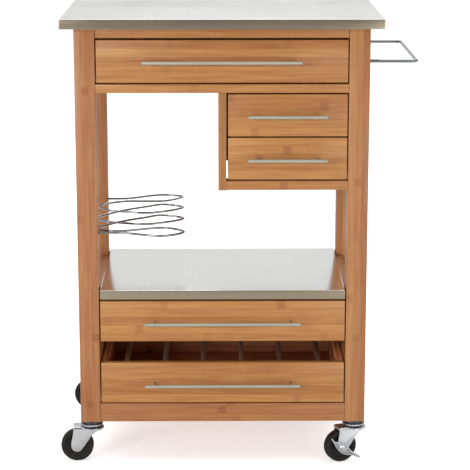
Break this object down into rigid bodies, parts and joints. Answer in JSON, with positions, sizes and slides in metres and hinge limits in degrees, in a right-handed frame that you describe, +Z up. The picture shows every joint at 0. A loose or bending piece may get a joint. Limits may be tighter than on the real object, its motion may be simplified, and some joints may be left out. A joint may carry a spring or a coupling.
{
  "type": "rolling utility cart",
  "caption": "Bamboo kitchen cart on swivel casters, with a steel worktop and shelf, sliding drawers, a wire bottle rack and a towel rail.",
  "frame": {"origin": "on the floor, under the middle of the whole cart's box", "axes": "+Z up, -Y towards the drawer fronts, +X towards the towel rail"},
  "size_m": [0.67, 0.3912, 0.85],
  "materials": {
    "bamboo": "clear satin lacquer over laminated bamboo strips",
    "bamboo_front": "clear satin lacquer, grain across, with bamboo nodes",
    "bamboo_panel": "thin bamboo panel, satin lacquer",
    "core_board": "plain unfaced board under the steel",
    "steel_sheet": "fine brushed stainless sheet with folded edges",
    "satin_nickel": "satin nickel plate",
    "chrome": "bright chrome plate",
    "zinc_plate": "bright zinc plate on pressed steel",
    "wheel_rubber": "matt black moulded wheel"
  },
  "bodies": {
    "frame": {"leg_front_left": "bamboo", "leg_front_right": "bamboo", "leg_rear_left": "bamboo", "leg_rear_right": "bamboo", "top_front_rail": "bamboo", "middle_front_rail": "bamboo", "bottom_front_rail": "bamboo", "upper_side_panel_left": "bamboo", "upper_side_panel_right": "bamboo", "lower_side_panel_left": "bamboo", "lower_side_panel_right": "bamboo", "upper_back_panel": "bamboo_panel", "lower_back_panel": "bamboo_panel", "small_bay_back_panel": "bamboo_panel", "small_bay_wall": "bamboo", "small_bay_bottom_rail": "bamboo", "worktop_board": "core_board", "worktop_skin": "steel_sheet", "shelf_board": "core_board", "shelf_skin": "steel_sheet", "bottle_rack": "chrome", "towel_rail": "chrome", "caster_front_left_housing": "zinc_plate", "caster_front_right_housing": "zinc_plate", "caster_rear_left_housing": "zinc_plate", "caster_rear_right_housing": "zinc_plate"},
    "top_drawer": {"top_drawer_front": "bamboo_front", "top_drawer_box": "bamboo", "top_drawer_base": "bamboo_panel", "top_drawer_handle": "satin_nickel"},
    "small_upper_drawer": {"small_upper_drawer_front": "bamboo_front", "small_upper_drawer_box": "bamboo", "small_upper_drawer_base": "bamboo_panel", "small_upper_drawer_handle": "satin_nickel"},
    "small_lower_drawer": {"small_lower_drawer_front": "bamboo_front", "small_lower_drawer_box": "bamboo", "small_lower_drawer_base": "bamboo_panel", "small_lower_drawer_handle": "satin_nickel"},
    "lower_drawer": {"lower_drawer_front": "bamboo_front", "lower_drawer_box": "bamboo", "lower_drawer_base": "bamboo_panel", "lower_drawer_handle": "satin_nickel"},
    "bottle_drawer": {"bottle_drawer_front": "bamboo_front", "bottle_drawer_box": "bamboo", "bottle_drawer_base": "bamboo_panel", "bottle_drawer_handle": "satin_nickel", "bottle_grid": "satin_nickel"},
    "caster_front_left_swivel": {"caster_front_left_fork": "zinc_plate", "caster_front_left_axle": "zinc_plate"},
    "caster_front_left_roller": {"caster_front_left_wheel": "wheel_rubber"},
    "caster_front_right_swivel": {"caster_front_right_fork": "zinc_plate", "caster_front_right_axle": "zinc_plate"},
    "caster_front_right_roller": {"caster_front_right_wheel": "wheel_rubber"},
    "caster_front_right_brake": {"caster_front_right_brake_pedal": "zinc_plate"},
    "caster_rear_left_swivel": {"caster_rear_left_fork": "zinc_plate", "caster_rear_left_axle": "zinc_plate"},
    "caster_rear_left_roller": {"caster_rear_left_wheel": "wheel_rubber"},
    "caster_rear_right_swivel": {"caster_rear_right_fork": "zinc_plate", "caster_rear_right_axle": "zinc_plate"},
    "caster_rear_right_roller": {"caster_rear_right_wheel": "wheel_rubber"}
  },
  "joints": [
    {"name": "top_drawer_slide", "type": "slide", "parent": "frame", "child": "top_drawer", "axis": [0, -1, 0], "range_m": [0, 0.24]},
    {"name": "small_upper_drawer_slide", "type": "slide", "parent": "frame", "child": "small_upper_drawer", "axis": [0, -1, 0], "range_m": [0, 0.24]},
    {"name": "small_lower_drawer_slide", "type": "slide", "parent": "frame", "child": "small_lower_drawer", "axis": [0, -1, 0], "range_m": [0, 0.24]},
    {"name": "lower_drawer_slide", "type": "slide", "parent": "frame", "child": "lower_drawer", "axis": [0, -1, 0], "range_m": [0, 0.24]},
    {"name": "bottle_drawer_slide", "type": "slide", "parent": "frame", "child": "bottle_drawer", "axis": [0, -1, 0], "range_m": [0, 0.24]},
    {"name": "caster_front_left_turn", "type": "hinge", "parent": "frame", "child": "caster_front_left_swivel", "pos_m": [-0.276, -0.1485, 0.07], "axis": [0, 0, 1], "continuous": true},
    {"name": "caster_front_left_roll", "type": "hinge", "parent": "caster_front_left_swivel", "child": "caster_front_left_roller", "pos_m": [-0.304, -0.1485, 0.031], "axis": [0, 1, 0], "continuous": true},
    {"name": "caster_front_right_turn", "type": "hinge", "parent": "frame", "child": "caster_front_right_swivel", "pos_m": [0.226, -0.1485, 0.07], "axis": [0, 0, 1], "continuous": true},
    {"name": "caster_front_right_roll", "type": "hinge", "parent": "caster_front_right_swivel", "child": "caster_front_right_roller", "pos_m": [0.19969, -0.15808, 0.031], "axis": [-0.342, 0.9397, 0], "continuous": true},
    {"name": "caster_front_right_brake_tilt", "type": "hinge", "parent": "caster_front_right_swivel", "child": "caster_front_right_brake", "pos_m": [0.19969, -0.15808, 0.031], "axis": [0.342, -0.9397, 0], "range_deg": [0, 20]},
    {"name": "caster_rear_left_turn", "type": "hinge", "parent": "frame", "child": "caster_rear_left_swivel", "pos_m": [-0.276, 0.1555, 0.07], "axis": [0, 0, 1], "continuous": true},
    {"name": "caster_rear_left_roll", "type": "hinge", "parent": "caster_rear_left_swivel", "child": "caster_rear_left_roller", "pos_m": [-0.30305, 0.16275, 0.031], "axis": [0.2588, 0.9659, 0], "continuous": true},
    {"name": "caster_rear_right_turn", "type": "hinge", "parent": "frame", "child": "caster_rear_right_swivel", "pos_m": [0.226, 0.1555, 0.07], "axis": [0, 0, 1], "continuous": true},
    {"name": "caster_rear_right_roll", "type": "hinge", "parent": "caster_rear_right_swivel", "child": "caster_rear_right_roller", "pos_m": [0.19842, 0.15064, 0.031], "axis": [-0.1736, 0.9848, 0], "continuous": true}
  ]
}
